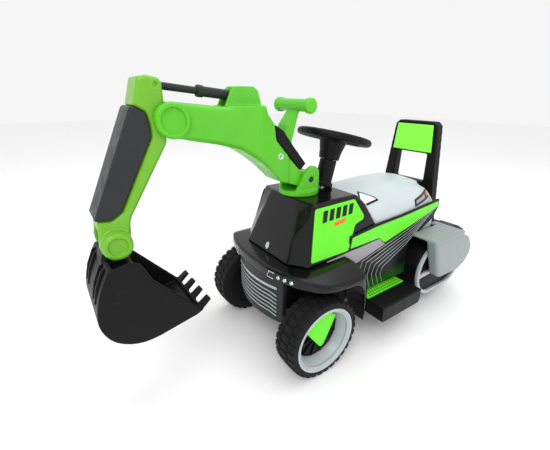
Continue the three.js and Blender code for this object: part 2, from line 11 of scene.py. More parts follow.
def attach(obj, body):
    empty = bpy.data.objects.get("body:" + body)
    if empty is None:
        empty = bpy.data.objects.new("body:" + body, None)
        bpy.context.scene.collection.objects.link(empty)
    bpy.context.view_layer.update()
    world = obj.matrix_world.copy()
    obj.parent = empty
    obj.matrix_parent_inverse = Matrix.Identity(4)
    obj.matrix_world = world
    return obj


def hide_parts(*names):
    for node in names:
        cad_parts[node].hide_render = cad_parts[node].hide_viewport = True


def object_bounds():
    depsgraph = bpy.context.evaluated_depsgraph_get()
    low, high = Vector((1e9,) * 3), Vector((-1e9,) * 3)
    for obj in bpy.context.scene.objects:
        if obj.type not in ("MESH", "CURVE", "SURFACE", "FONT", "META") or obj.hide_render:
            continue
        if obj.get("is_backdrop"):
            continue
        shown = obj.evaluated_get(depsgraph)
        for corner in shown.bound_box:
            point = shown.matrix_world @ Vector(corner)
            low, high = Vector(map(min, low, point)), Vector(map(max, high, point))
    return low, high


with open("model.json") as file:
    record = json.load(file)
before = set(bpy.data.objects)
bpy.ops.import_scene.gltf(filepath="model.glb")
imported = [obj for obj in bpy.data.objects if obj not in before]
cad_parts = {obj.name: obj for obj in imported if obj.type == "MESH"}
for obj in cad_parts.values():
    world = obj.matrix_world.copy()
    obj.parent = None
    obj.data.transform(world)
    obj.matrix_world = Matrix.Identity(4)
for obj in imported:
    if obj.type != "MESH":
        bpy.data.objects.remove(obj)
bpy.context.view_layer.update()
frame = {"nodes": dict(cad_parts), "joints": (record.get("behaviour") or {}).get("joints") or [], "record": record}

# ---------- where things are ----------
MM = 0.001
MID_Y = 98.0                          # the record's frame starts this far behind the front axle, mm
NODE_BODY = {n: b for b, names in frame["record"]["behaviour"]["bodies"].items() for n in names}
NODE_SLOT = {s["node"]: s["material_slot"] for s in frame["record"]["subparts"]}
SIDES = (("left", 1), ("right", -1))
JOINT = {j["name"]: j for j in frame["joints"]}


def at(x, y, z):
    """Point in the frame from millimetres measured from the front axle."""
    return Vector((x * MM, (y - MID_Y) * MM, z * MM))


# ---------- materials ----------
def rgb(r, g, b):
    """Linear colour from 8-bit display values."""
    def linear(v):
        v /= 255
        return v / 12.92 if v <= 0.04045 else ((v + 0.055) / 1.055) ** 2.4
    return (linear(r), linear(g), linear(b), 1.0)


def shade(colour, factor):
    return tuple(min(1.0, c * factor) for c in colour[:3]) + (1.0,)


def node(tree, kind, **inputs):
    made = tree.nodes.new(kind)
    for key, value in inputs.items():
        made.inputs[key.replace("_", " ")].default_value = value
    return made


def noise(tree, coords, scale, detail=3.0, rough=0.5, distortion=0.0):
    made = node(tree, "ShaderNodeTexNoise", Scale=scale, Detail=detail, Roughness=rough,
                Distortion=distortion)
    tree.links.new(coords, made.inputs["Vector"])
    return made.outputs["Fac"]


def ranged(tree, value, low, high, start=0.35, end=0.65):
    made = tree.nodes.new("ShaderNodeMapRange")
    for key, number in (("From Min", start), ("From Max", end), ("To Min", low), ("To Max", high)):
        made.inputs[key].default_value = number
    tree.links.new(value, made.inputs["Value"])
    return made.outputs["Result"]


def ramp(tree, value, stops):
    made = tree.nodes.new("ShaderNodeValToRGB")
    made.color_ramp.elements[0].position, made.color_ramp.elements[0].color = stops[0]
    made.color_ramp.elements[1].position, made.color_ramp.elements[1].color = stops[-1]
    for position, colour in stops[1:-1]:
        made.color_ramp.elements.new(position).color = colour
    tree.links.new(value, made.inputs["Fac"])
    return made.outputs["Color"]


def surface(name, colour, rough, spread=0.06, grain=0.08, grain_scale=900.0, mottle=0.06,
            scuff=0.0, coat=0.0, metallic=0.0, specular=0.5, painted_reflection=None):
    """Moulded plastic, rubber or metal: mottled colour, uneven gloss, fine grain and long light scuffs, and where
    asked a painted reflection of a bright colour towards one end.
    """
    material = bpy.data.materials.new(name)
    material.use_nodes = True
    tree = material.node_tree
    shader = tree.nodes["Principled BSDF"]
    shader.inputs["Metallic"].default_value = metallic
    shader.inputs["Coat Weight"].default_value = coat
    shader.inputs["Coat Roughness"].default_value = 0.06
    shader.inputs["Specular IOR Level"].default_value = specular
    coords = tree.nodes.new("ShaderNodeTexCoord").outputs["Object"]
    cloudy = noise(tree, coords, 11.0, 5.0, 0.6)
    base = ramp(tree, cloudy, [(0.3, shade(colour, 1 - mottle)), (0.7, shade(colour, 1 + mottle))])
    stretched = node(tree, "ShaderNodeMapping", Scale=(260.0, 26.0, 90.0), Rotation=(0.3, 0.2, 0.7))
    tree.links.new(coords, stretched.inputs["Vector"])
    streaks = noise(tree, stretched.outputs["Vector"], 1.0, 6.0, 0.7, 0.4)
    if scuff:
        mix = tree.nodes.new("ShaderNodeMix")
        mix.data_type = "RGBA"
        tree.links.new(ranged(tree, streaks, 0.0, scuff, 0.63, 0.78), mix.inputs["Factor"])
        tree.links.new(base, mix.inputs["A"])
        mix.inputs["B"].default_value = shade(colour, 1.0) if metallic else (0.30, 0.31, 0.30, 1.0)
        base = mix.outputs["Result"]
    # Painted reflected light: towards the low end of the axis the colour turns to the given colour, standing in
    # for a bright part's light reflected in the surface.
    if painted_reflection:
        axis, low, high, reflected_colour = painted_reflection
        split = tree.nodes.new("ShaderNodeSeparateXYZ")
        tree.links.new(coords, split.inputs["Vector"])
        blend = tree.nodes.new("ShaderNodeMix")
        blend.data_type = "RGBA"
        tree.links.new(ranged(tree, split.outputs[axis], 0.0, 1.0, low, high), blend.inputs["Factor"])
        blend.inputs["A"].default_value = reflected_colour
        tree.links.new(base, blend.inputs["B"])
        base = blend.outputs["Result"]
    tree.links.new(base, shader.inputs["Base Color"])
    patches = noise(tree, coords, 42.0, 7.0, 0.65, 0.3)
    gloss = ranged(tree, patches, max(0.03, rough - spread), rough + spread)
    tree.links.new(gloss, shader.inputs["Roughness"])
    bump = node(tree, "ShaderNodeBump", Strength=grain, Distance=0.0004)
    tree.links.new(noise(tree, coords, grain_scale, 4.0, 0.6), bump.inputs["Height"])
    tree.links.new(bump.outputs["Normal"], shader.inputs["Normal"])
    return material


LIME = rgb(84, 184, 24)
MATERIAL = {
    "body_black": surface("moulded_black", rgb(15, 15, 16), 0.44, grain=0.25, grain_scale=1300.0,
                          scuff=0.05, specular=0.15),
    "gloss_black": surface("gloss_black", rgb(8, 8, 9), 0.20, 0.07, grain=0.04, scuff=0.05, specular=0.32),
    "seat_grey": surface("pale_grey", rgb(192, 201, 203), 0.36, 0.07, grain=0.10, mottle=0.03),
    "side_grey": surface("mid_grey", rgb(150, 157, 156), 0.38, 0.07, grain=0.10, mottle=0.04),
    "lime": surface("lime_plastic", LIME, 0.33, 0.07, grain=0.08, mottle=0.08, specular=0.4),
    "lime_decal": surface("lime_film", rgb(100, 228, 28), 0.30, 0.03, grain=0.02, mottle=0.012,
                          specular=0.35),
    "tyre": surface("tyre_black", rgb(22, 21, 22), 0.70, 0.10, grain=0.45, grain_scale=620.0, scuff=0.16,
                    specular=0.18),
    "rim_grey": surface("rim_grey", rgb(170, 178, 181), 0.32, 0.07, grain=0.06, mottle=0.04),
    "steel": surface("zinc_steel", rgb(188, 192, 196), 0.28, 0.08, grain=0.15, metallic=1.0, scuff=0.3),
    "cover_grey": surface("satin_charcoal", rgb(45, 46, 48), 0.42, 0.07, grain=0.25, grain_scale=1500.0,
                          scuff=0.04, specular=0.18),
}
POD = surface("pod_grey", rgb(140, 147, 147), 0.36, 0.07, grain=0.10, mottle=0.03)
CHROME = surface("chrome_film", rgb(205, 210, 214), 0.16, 0.05, grain=0.03, metallic=1.0)
SILVER = surface("silver_line", rgb(172, 178, 180), 0.32, 0.05, grain=0.04, metallic=0.35)
ORANGE = surface("orange_film", rgb(236, 104, 40), 0.28, 0.05, grain=0.03)
INK = surface("black_film", rgb(13, 14, 14), 0.30, 0.05, grain=0.03, specular=0.3)
WHITE = surface("white_film", rgb(232, 234, 232), 0.28, 0.05, grain=0.03, mottle=0.02)
GREY_FILM = surface("grey_film", rgb(150, 146, 152), 0.30, 0.05, grain=0.03, mottle=0.05)
LIME_WARM = surface("lime_warm", rgb(104, 172, 26), 0.32, 0.07, grain=0.07, mottle=0.08)
LIME_PALE = surface("lime_pale_film", rgb(132, 246, 66), 0.30, 0.03, grain=0.02, mottle=0.012,
                    specular=0.35)
# Painted reflected light: the black side panel turns dark green towards its bottom edge, where the lime step pad
# below reflects into it.
PANEL = surface("panel_black", rgb(16, 17, 17), 0.34, grain=0.12, scuff=0.08, specular=0.2,
                painted_reflection=("Z", 0.104, 0.138, rgb(24, 84, 16)))
FASCIA = surface("fascia_charcoal", rgb(36, 38, 39), 0.42, grain=0.15, specular=0.25)


# ---------- pieces ----------
def dress(piece, body, slot, material=None, replaced=()):
    piece.data.materials.clear()
    piece.data.materials.append(material or MATERIAL[slot])
    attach(piece, body)
    if replaced:
        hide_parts(*replaced)
    return piece


def piece_from(name, vertices, faces, smooth=None):
    mesh = bpy.data.meshes.new(name)
    mesh.from_pydata([tuple(v) for v in vertices], [], faces)
    work = bmesh.new()
    work.from_mesh(mesh)
    bmesh.ops.recalc_face_normals(work, faces=work.faces)
    work.to_mesh(mesh)
    work.free()
    for polygon in mesh.polygons:
        polygon.use_smooth = smooth is not None
    if smooth:
        mesh.set_sharp_from_angle(angle=math.radians(smooth))
    made = bpy.data.objects.new(name, mesh)
    bpy.context.scene.collection.objects.link(made)
    return made


def bake(piece):
    """Replaces the piece's mesh with what its modifiers make of it."""
    graph = bpy.context.evaluated_depsgraph_get()
    graph.update()
    baked = bpy.data.meshes.new_from_object(piece.evaluated_get(graph))
    piece.modifiers.clear()
    piece.data = baked
    return piece


def rounded(piece, width, segments=2, angle=28.0):
    bevel = piece.modifiers.new("edge", "BEVEL")
    bevel.width = width
    bevel.segments = segments
    bevel.limit_method = "ANGLE"
    bevel.angle_limit = math.radians(angle)
    bevel.harden_normals = False
    bake(piece)
    for polygon in piece.data.polygons:
        polygon.use_smooth = True
    piece.data.set_sharp_from_angle(angle=math.radians(35))
    return piece


def skin(name, voxel, passes, material=None, also=()):
    """A softened moulding, with rounded edges, of a CAD node and of those fused with it."""
    work = bmesh.new()
    for source in (name, *also):
        work.from_mesh(frame["nodes"][source].data)
    mesh = bpy.data.meshes.new(name + "_skin")
    work.to_mesh(mesh)
    work.free()
    piece = bpy.data.objects.new(name + "_skin", mesh)
    bpy.context.scene.collection.objects.link(piece)
    remesh = piece.modifiers.new("voxels", "REMESH")
    remesh.mode = "VOXEL"
    remesh.voxel_size = voxel * MM
    remesh.use_smooth_shade = True
    soften = piece.modifiers.new("soften", "SMOOTH")
    soften.factor = 0.5
    soften.iterations = passes
    bake(piece)
    for polygon in piece.data.polygons:
        polygon.use_smooth = True
    return dress(piece, NODE_BODY[name], NODE_SLOT[name], material, (name, *also))


def lathe(name, profile, centre, side, steps=96, smooth=30):
    """Profile of (radius, x) in mm turned about a line along x through centre (y, z)."""
    vertices, faces = [], []
    count = len(profile)
    for i in range(steps):
        a = 2 * math.pi * i / steps
        for r, x in profile:
            vertices.append(at(side * x, centre[0] + r * math.cos(a), centre[1] + r * math.sin(a)))
    for i in range(steps):
        j = (i + 1) % steps
        for k in range(count):
            m = (k + 1) % count
            faces.append((i * count + k, i * count + m, j * count + m, j * count + k))
    return piece_from(name, vertices, faces, smooth)


def plate(name, outline, place, depth, smooth=None):
    """A thin plate: outline of (u, v), put in space by place(u, v, lift in mm)."""
    n = len(outline)
    vertices = [place(u, v, 0.0) for u, v in outline] + [place(u, v, depth) for u, v in outline]
    faces = [tuple(range(n)), tuple(range(2 * n - 1, n - 1, -1))]
    faces += [(i, (i + 1) % n, n + (i + 1) % n, n + i) for i in range(n)]
    return piece_from(name, vertices, faces, smooth)


def soft_corners(points, radius, steps=4):
    """The outline with each corner cut by a short curve."""
    made = []
    for i, point in enumerate(points):
        p = Vector(point)
        before = Vector(points[i - 1]) - p
        after = Vector(points[(i + 1) % len(points)]) - p
        reach = min(radius, before.length * 0.45, after.length * 0.45)
        a, b = p + before.normalized() * reach, p + after.normalized() * reach
        for k in range(steps + 1):
            t = k / steps
            made.append(tuple(a * (1 - t) ** 2 + p * 2 * t * (1 - t) + b * t * t))
    return made


def grown(points, amount):
    """The outline moved outward by amount, for borders."""
    n = len(points)
    area = sum(points[i][0] * points[(i + 1) % n][1] - points[(i + 1) % n][0] * points[i][1]
               for i in range(n))
    turn = 1 if area > 0 else -1
    made = []
    for i in range(n):
        p = Vector(points[i])
        d1 = (p - Vector(points[i - 1])).normalized()
        d2 = (Vector(points[(i + 1) % n]) - p).normalized()
        n1, n2 = Vector((d1.y, -d1.x)) * turn, Vector((d2.y, -d2.x)) * turn
        bisector = (n1 + n2).normalized()
        made.append(tuple(p + bisector * amount / max(0.5, bisector.dot(n1))))
    return made


def strip(name, path, width, place, depth):
    """A ribbon of constant width along an open path of (u, v)."""
    left, right = [], []
    for i, point in enumerate(path):
        p = Vector(point)
        ahead = (Vector(path[min(i + 1, len(path) - 1)]) - Vector(path[max(i - 1, 0)])).normalized()
        across = Vector((-ahead.y, ahead.x)) * width / 2
        left.append(tuple(p + across))
        right.append(tuple(p - across))
    n = len(path)
    vertices = [place(u, v, lift) for lift in (0.0, depth) for u, v in left + right]
    faces = []
    for i in range(n - 1):
        a, b, c, d = i, i + 1, n + i + 1, n + i
        faces += [(a, b, c, d), (2 * n + d, 2 * n + c, 2 * n + b, 2 * n + a),
                  (a, 2 * n + a, 2 * n + b, b), (d, c, 2 * n + c, 2 * n + d)]
    faces += [(0, n, 3 * n, 2 * n), (n - 1, 3 * n - 1, 4 * n - 1, 2 * n - 1)]
    return piece_from(name, vertices, faces)


def cluster(name, parts):
    """Joins loose (vertices, faces) into one mesh piece."""
    vertices, faces = [], []
    for part_vertices, part_faces in parts:
        base = len(vertices)
        vertices += part_vertices
        faces += [tuple(base + i for i in face) for face in part_faces]
    return piece_from(name, vertices, faces)


BLOCK_FACES = [(0, 1, 3, 2), (4, 6, 7, 5), (0, 4, 5, 1), (2, 3, 7, 6), (0, 2, 6, 4), (1, 5, 7, 3)]


def block(corner):
    """Eight corners from corner(i, j, k), each 0 or 1, and the faces between them."""
    return [corner(i, j, k) for i in (0, 1) for j in (0, 1) for k in (0, 1)], BLOCK_FACES


# ---------- mouldings that keep the CAD's shape ----------
SKINS = [
    ("hood", 2.4, 16, None), ("front_fenders", 2.2, 18, None), ("seat", 3.0, 34, None),
    ("backrest_frame", 2.0, 10, None), ("backrest_panel", 1.1, 4, LIME_PALE), ("boom", 1.8, 9, None),
    ("dipper", 1.6, 8, LIME_WARM), ("dipper_cover", 1.6, 5, None), ("boom_insert", 1.5, 5, None),
    ("turret", 1.3, 4, None), ("handle", 1.3, 4, None), ("bucket", 1.6, 5, None),
    ("chassis", 3.0, 4, None), ("front_beam", 2.0, 3, None), ("front_fascia", 1.7, 5, FASCIA),
    ("steering_column", 1.4, 5, None), ("steering_wheel", 1.3, 12, None), ("horn_button", 1.0, 5, None),
]
SIDED_SKINS = [
    ("side_panel", 1.5, 3, PANEL), ("step", 2.0, 6, None), ("track_shell", 2.0, 4, None),
    ("knuckle", 1.2, 3, None), ("elbow_cap", 0.9, 2, None), ("wrist_cap", 0.9, 2, LIME_WARM),
]
for name, voxel, passes, material in SKINS:
    skin(name, voxel, passes, material)
for name, voxel, passes, material in SIDED_SKINS:
    for side_name, _ in SIDES:
        skin(f"{name}_{side_name}", voxel, passes, material)
for side_name, _ in SIDES:
    skin(f"pod_top_{side_name}", 1.9, 16, POD, (f"pod_side_{side_name}",))
for name in ("tie_rod", "kingpin_left", "kingpin_right", "steering_shaft", "rear_axle", "boom_pin",
             "tube_pin", "rod_pin", "elbow_pin", "wrist_pin", "turret_ring"):
    frame["nodes"][name].data.materials.clear()
    frame["nodes"][name].data.materials.append(MATERIAL[NODE_SLOT[name]])

# ---------- wheels ----------
WHEEL_R = 85.0
TYRE = [(60.9, 108), (74, 107.9), (79.5, 109.5), (82, 113), (82.6, 120), (82.8, 137), (82.6, 154),
        (82, 160.5), (79.5, 164), (75, 165.4), (71.2, 165.4), (70.8, 161), (61, 161)]
RIM = [(60.8, 118), (60.8, 161.2), (69.6, 161.4), (70.3, 163), (70.3, 165.4), (69.2, 166.6), (67.4, 166.8),
       (65.4, 165.6), (61, 158), (57, 150), (54.4, 143), (53, 139), (53, 118)]
DISH = [(6.5, 110), (60.5, 109), (60.5, 116), (14, 116), (14, 133), (52.8, 133), (52.8, 136.8),
        (16, 137.4), (14, 143), (11, 146.4), (6.5, 146.4)]
ROLLER = [(5.4, 27), (60, 27), (67, 28.5), (70, 33), (70, 50), (68.5, 52.5), (70, 55), (70, 72),
          (67, 76.5), (60, 78), (56, 73), (20, 73), (16, 78), (5.4, 78)]
BLOCKS = 30


def tread(side):
    """Chunky blocks in three staggered rows, with lugs down each shoulder."""
    parts = []
    rows = ((109.6, 124.5, 0.0, 0.66), (127.0, 147.0, 0.5, 0.72), (149.5, 164.4, 0.0, 0.66))
    for x0, x1, stagger, share in rows:
        for i in range(BLOCKS):
            def corner(a, b, c, i=i, x0=x0, x1=x1, stagger=stagger, share=share):
                x = (x0, x1)[a]
                shoulder = 3.0 if (a == 0 and x0 < 115) or (a == 1 and x1 > 160) else 0.0
                skew = 0.10 * (a - 0.5) if x0 > 115 and x1 < 160 else 0.0
                turn = 2 * math.pi * (i + stagger + share * (b - 0.5) + skew) / BLOCKS
                r = (79.0, WHEEL_R - 0.1 - shoulder * 0.6)[c] - (2.0 if shoulder and not c else 0.0)
                return at(side * x, r * math.cos(turn), WHEEL_R + r * math.sin(turn))
            parts.append(block(corner))
    return parts


def wheel_ribs(side, count=12):
    parts = []
    for i in range(count):
        def corner(a, b, c, i=i):
            r = (15.0, 52.0)[a]
            turn = 2 * math.pi * (i + 0.5) / count + (b - 0.5) * (5.0, 2.4)[a] / r
            return at(side * (136.5, (142.5, 139.5)[a])[c], r * math.cos(turn), WHEEL_R + r * math.sin(turn))
        parts.append(block(corner))
    return parts


def wheel_wedge(side):
    """The bright three-cornered badge over the hub: wide under the rim, rounded at its tip."""
    outer = [(52 * math.cos(a), 52 * math.sin(a))
             for a in (math.radians(145 - 103 * k / 14) for k in range(15))]
    tip = (4.5, -32.5)
    corner = soft_corners([outer[-1], tip, outer[0]], 15.0, 6)[7:14]
    return plate("wedge", outer + corner, lambda u, v, lift: at(side * (146.0 + lift), u, WHEEL_R + v), 3.2)


REAR_HUB = (440.0, 70.0)
for side_name, side in SIDES:
    body = f"front_wheel_{side_name}"
    hub = (0.0, WHEEL_R)
    dress(lathe(f"tyre_{side_name}", TYRE, hub, side), body, "tyre", None, (f"front_tyre_{side_name}",))
    blocks = rounded(cluster(f"tread_{side_name}", tread(side)), 0.8 * MM, 2)
    dress(blocks, body, "tyre")
    rim = lathe(f"rim_{side_name}", RIM, hub, side, smooth=60)
    dress(rim, body, "rim_grey", None, (f"front_rim_{side_name}",))
    disc = lathe(f"wheel_dish_{side_name}", DISH, hub, side)
    dress(disc, body, "body_black", None, (f"wheel_disc_{side_name}",))
    ribs = rounded(cluster(f"wheel_ribs_{side_name}", wheel_ribs(side)), 0.7 * MM, 2)
    dress(ribs, body, "body_black")
    wedge = wheel_wedge(side)
    wedge.name = f"wheel_wedge_{side_name}"
    dress(rounded(wedge, 1.2 * MM, 3), body, "lime_decal")
    roller = lathe(f"rear_roller_{side_name}", ROLLER, REAR_HUB, side)
    dress(roller, f"rear_wheel_{side_name}", "tyre", None, (f"rear_wheel_{side_name}",))

# ---------- rear track pods ----------
POD_FRONT, POD_REAR, POD_Z = 403.0, 472.0, 109.0


def pod_path(r, steps=28):
    front = [(POD_FRONT + r * math.cos(a), POD_Z + r * math.sin(a)) for a in
             (math.radians(90 + 180 * k / steps) for k in range(steps + 1))]
    rear = [(POD_REAR + r * math.cos(a), POD_Z + r * math.sin(a)) for a in
            (math.radians(-90 + 180 * k / steps) for k in range(steps + 1))]
    return front + rear


def spaced(path, gap):
    """Points and outward directions at even steps round a closed path."""
    made, carry = [], 0.0
    for i, point in enumerate(path):
        a, b = Vector(point), Vector(path[(i + 1) % len(path)])
        length = (b - a).length
        along = (b - a).normalized()
        while carry < length:
            made.append((a + along * carry, Vector((along.y, -along.x)) * -1, along))
            carry += gap
        carry -= length
    return made


def loop_bar(name, path, width, x0, x1, side):
    """A closed flat band of that width, inward from the path."""
    inner = grown(path, -width)
    n = len(path)
    vertices = [at(side * x, *p) for x in (x0, x1) for p in list(path) + inner]
    faces = []
    for i in range(n):
        j = (i + 1) % n
        faces += [(i, j, n + j, n + i), (2 * n + i, 3 * n + i, 3 * n + j, 2 * n + j),
                  (i, 2 * n + i, 2 * n + j, j), (n + i, n + j, 3 * n + j, 3 * n + i)]
    return piece_from(name, vertices, faces)


for side_name, side in SIDES:
    ribs = []
    for point, outward, along in spaced(pod_path(75.6), 6.0):
        if point.y > 176 and point.x > POD_FRONT - 10:
            continue
        if point.x < 331.5:
            continue
        def corner(a, b, c, point=point, outward=outward, along=along):
            spot = point + along * (-1.5, 1.5)[b] + outward * (-1.0, 1.6)[c] * -1
            return at(side * (85.5, 137.0)[a], spot.x, spot.y)
        ribs.append(block(corner))
    dress(rounded(cluster(f"track_ribs_{side_name}", ribs), 0.5 * MM, 2), "chassis", "body_black")
    ring = loop_bar(f"track_ring_{side_name}", pod_path(74.0), 9.0, 137.6, 146.0, side)
    dress(rounded(ring, 1.6 * MM, 3), "chassis", "rim_grey", None, (f"track_frame_{side_name}",))
    web = plate(f"track_web_{side_name}", pod_path(66.0),
                lambda u, v, lift: at(side * (137.8 + lift), u, v), 1.6)
    dress(rounded(web, 0.3 * MM), "chassis", "body_black")
    bar = strip(f"track_bar_{side_name}", [(336, 101), (403, 103), (470, 103)], 11.0,
                lambda u, v, lift: at(side * (138.2 + lift), u, v), 7.0)
    dress(rounded(bar, 1.5 * MM, 3), "chassis", "rim_grey")

# ---------- side graphics ----------
def on_hood(side):
    return lambda u, v, lift: at(side * (84.0 + 0.2065 * (338.6 - v) + 0.25 + lift), u, v)


def on_panel(side, x=105.75):
    return lambda u, v, lift: at(side * (x + lift), u, v)


HOOD_DECAL = [(23, 329), (132, 331), (157, 292), (154, 285), (129, 279), (103, 229), (1, 229)]
STRIPE = [(111.5, 229), (115, 254), (192, 262), (291, 266.5), (430, 278), (436, 264), (340, 239),
          (228, 214.5), (203, 232)]
PATCH = [(40, 216), (44, 220.6), (98, 224.6), (140, 226), (203, 230), (226, 212), (142, 192), (98, 186)]
BARS = [[(y + 6, 322 + k * 0.4), (y + 18, 322.4 + k * 0.4), (y + 12, 300 + k * 0.8), (y, 299.6 + k * 0.8)]
        for k, y in enumerate((38, 56, 74, 92, 110))]
DASH = [(70, 295), (104, 299), (101, 290.5), (67, 286.5)]
for side_name, side in SIDES:
    border = plate(f"hood_film_{side_name}", soft_corners(grown(HOOD_DECAL, 2.6), 6.0), on_hood(side), 0.5)
    dress(border, "chassis", "gloss_black", INK)
    film = plate(f"hood_graphic_{side_name}", soft_corners(HOOD_DECAL, 5.0),
                 lambda u, v, lift: on_hood(side)(u, v, lift + 0.45), 0.45)
    dress(film, "chassis", "lime_decal")
    for i, bar in enumerate(BARS):
        mark = plate(f"hood_bar_{i}_{side_name}", soft_corners(bar, 1.2, 2),
                     lambda u, v, lift: on_hood(side)(u, v, lift + 0.85), 0.35)
        dress(mark, "chassis", "gloss_black", INK)
    dash = plate(f"hood_dash_{side_name}", soft_corners(DASH, 2.0, 3),
                 lambda u, v, lift: on_hood(side)(u, v, lift + 0.85), 0.35)
    dress(dash, "chassis", "lime_decal", ORANGE)
    edge = plate(f"stripe_border_{side_name}", soft_corners(grown(STRIPE, 1.8), 3.0), on_panel(side), 0.4)
    dress(edge, "chassis", "gloss_black", INK)
    stripe = plate(f"stripe_{side_name}", soft_corners(STRIPE, 3.0), on_panel(side, 106.1), 0.45)
    dress(stripe, "chassis", "lime_decal")
    patch = plate(f"patch_{side_name}", soft_corners(PATCH, 2.0), on_panel(side, 105.9), 3.2)
    dress(rounded(patch, 0.5 * MM, 2), "chassis", "side_grey", GREY_FILM)
    for k in range(6):
        path = [(161 + 16 * k, 103), (146.5 + 16 * k, 148 - 3 * k), (155 + 16 * k, 186.5 - 7.4 * k),
                (330 - 3 * k, 230.5 - 9.0 * k), (424 - 12 * k, 259.5 - 8.0 * k)]
        line = strip(f"skirt_line_{k}_{side_name}", path, 1.6, on_panel(side, 105.6), 0.7)
        dress(line, "chassis", "rim_grey", SILVER)

# ---------- step pads ----------
PAD = [(106.2, 168), (131.5, 158.8), (131.5, 291), (106.2, 292)]
STUD = surface("stud_green", rgb(52, 128, 16), 0.36, grain=0.05)
for side_name, side in SIDES:
    pad = plate(f"tread_pad_{side_name}", soft_corners(PAD, 2.0, 3),
                lambda u, v, lift: at(side * u, v, 99.9 + lift), 2.0)
    dress(rounded(pad, 0.6 * MM, 2), "chassis", "lime_decal", None, (f"step_pad_{side_name}",))
    studs = []
    for i in range(3):
        for j in range(15):
            x, y = 110.5 + 8.2 * i, 172 + 8.0 * j + (4.0 if i == 1 else 0.0)
            if y > 287:
                continue
            def corner(a, b, c, x=x, y=y):
                grow = (2.1, 1.4)[c]
                return at(side * (x + (-grow, grow)[a]), y + (-grow * 1.2, grow * 1.2)[b], (101.6, 103.2)[c])
            studs.append(block(corner))
    dress(rounded(cluster(f"pad_studs_{side_name}", studs), 0.35 * MM, 2), "chassis", "lime_decal", STUD)

# ---------- front: grille lines, lamps and badge ----------
def fascia_y(x):
    return -47 - 17 * (1 - (x / 83.0) ** 2)


for i in range(7):
    z = 112 + 9.6 * i + (3.0 if i == 6 else 0.0)
    high = 5.6 if i == 6 else 2.2
    path = [(-76 + 146 * k / 36, z) for k in range(37)]
    path = [(u, v - (5.0 * (u - 52) / 18 if u > 52 and i < 6 else 0.0)) for u, v in path]
    line = strip(f"grille_line_{i}", path, high, lambda u, v, lift: at(u, fascia_y(u) - 0.15 - lift, v), 1.2)
    dress(line, "chassis", "side_grey", SILVER, ("grille",) if i == 6 else ())

SHELF = [(0, -68), (48, -66), (88, -58), (124, -44), (150, -24)]


def shelf_y(x):
    for (x0, y0), (x1, y1) in zip(SHELF, SHELF[1:]):
        if x <= x1:
            return y0 + (y1 - y0) * (x - x0) / (x1 - x0)
    return SHELF[-1][1]


def lens(name, x, z, r, side):
    y = shelf_y(x)
    slope = (shelf_y(x + 4) - shelf_y(x - 4)) / 8
    outward = Vector((slope, -1.0)).normalized()
    across = Vector((-outward.y, outward.x))
    rings = ((r, 0.0), (r, 1.2), (r * 0.82, 2.0), (r * 0.6, 1.4), (r * 0.3, 2.1))
    vertices, faces, n = [], [], 28
    for ring_r, lift in rings:
        for k in range(n):
            a = 2 * math.pi * k / n
            spot = Vector((x, y)) + across * ring_r * math.cos(a) + outward * lift
            vertices.append(at(side * spot.x, spot.y, z + ring_r * math.sin(a)))
    for k in range(len(rings) - 1):
        faces += [(k * n + i, k * n + (i + 1) % n, (k + 1) * n + (i + 1) % n, (k + 1) * n + i)
                  for i in range(n)]
    faces += [tuple(range(n)), tuple(range(len(rings) * n - 1, len(rings) * n - n - 1, -1))]
    return piece_from(name, vertices, faces, 40)


BRACKET = [(74, 213), (60, 213), (56, 200), (72, 200)]
for side_name, side in SIDES:
    for i, x in enumerate((84, 98, 112)):
        dress(lens(f"lamp_{i}_{side_name}", x, 207 - i * 0.6, 4.2, side), "chassis", "rim_grey", CHROME)
    bracket = strip(f"lamp_bracket_0_{side_name}", BRACKET, 1.8,
                    lambda u, v, lift: at(side * u, shelf_y(u) - 0.1 - lift, v), 1.3)
    dress(bracket, "chassis", "rim_grey", CHROME)

BADGE = [(6.5 * math.cos(a), 8.0 * math.sin(a)) for a in (math.radians(60 * k + 30) for k in range(6))]
badge = plate("hood_badge", BADGE,
              lambda u, v, lift: at(u, -32.3 + (14 + v) * 0.407 - 0.4 - lift, 234 + v), 1.6)
dress(rounded(badge, 0.5 * MM, 3), "chassis", "rim_grey", CHROME)

# ---------- arm: cylinder, screws ----------
tube_eye = Vector(JOINT["cylinder_tilt"]["pos_m"]) / MM + Vector((0, MID_Y, 0))
rod_axis = Vector(JOINT["rod_slide"]["axis"])


def turned_along(name, profile, steps=40, smooth=35):
    """Profile of (radius, distance from the tube's eye) turned about the cylinder's own line."""
    across = Vector((1, 0, 0))
    up = rod_axis.cross(across)
    vertices, faces, count = [], [], len(profile)
    for i in range(steps):
        a = 2 * math.pi * i / steps
        for r, distance in profile:
            spot = tube_eye + rod_axis * distance + across * r * math.cos(a) + up * r * math.sin(a)
            vertices.append(at(*spot))
    for i in range(steps):
        j = (i + 1) % steps
        faces += [(i * count + k, i * count + k + 1, j * count + k + 1, j * count + k)
                  for k in range(count - 1)]
    faces.append(tuple(i * count for i in range(steps)))
    faces.append(tuple(i * count + count - 1 for i in reversed(range(steps))))
    return piece_from(name, vertices, faces, smooth)


